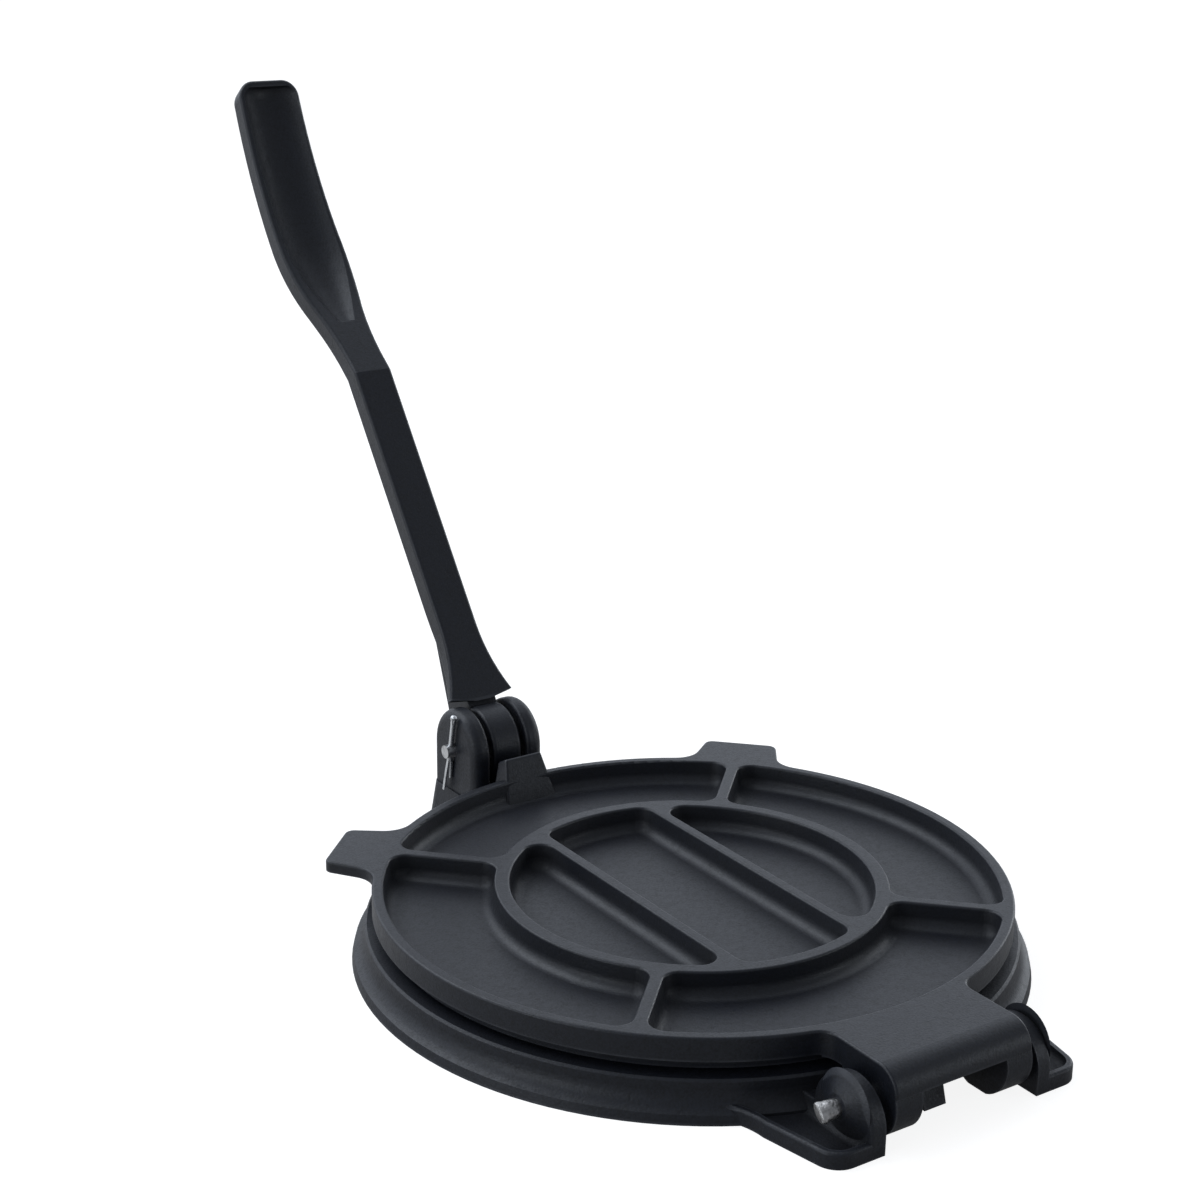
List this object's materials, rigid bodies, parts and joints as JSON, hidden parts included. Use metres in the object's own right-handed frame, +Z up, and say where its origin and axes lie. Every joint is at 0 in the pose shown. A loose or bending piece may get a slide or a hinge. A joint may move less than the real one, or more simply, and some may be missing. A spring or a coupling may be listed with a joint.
{
  "type": "tortilla press",
  "caption": "Cast-iron hand press with a hinged ribbed upper disc over a round base, closed by a long lever pivoted at the back on a pinned bracket.",
  "frame": {"origin": "on the table, in the middle of the whole length; the discs' centre lies 83.4 mm towards -Y", "axes": "+Z up; +Y from the plate hinge towards the lever's pivot and its grip; +X to the right, along both hinge axes"},
  "size_m": [0.2164, 0.4234, 0.2481],
  "materials": {
    "base_casting": "seasoned, matte, fine cast grain",
    "top_casting": "seasoned, matte, fine cast grain",
    "lever_casting": "seasoned, matte, fine cast grain",
    "pin_steel": "bright, one end hammered",
    "wire_steel": "bright zinc"
  },
  "bodies": {
    "base": {"base_plate": "base_casting", "hinge_pin": "pin_steel", "lever_pin": "pin_steel", "cotter_pin": "wire_steel"},
    "upper_disc": {"top_plate": "top_casting"},
    "lever": {"lever_handle": "lever_casting"}
  },
  "joints": [
    {"name": "plate_hinge", "type": "hinge", "parent": "base", "child": "upper_disc", "pos_m": [0, -0.20017, 0.012], "axis": [1, 0, 0], "range_deg": [0, 100]},
    {"name": "lever_pivot", "type": "hinge", "parent": "base", "child": "lever", "pos_m": [0, 0.04153, 0.0279], "axis": [1, 0, 0], "range_deg": [0, 101]}
  ]
}
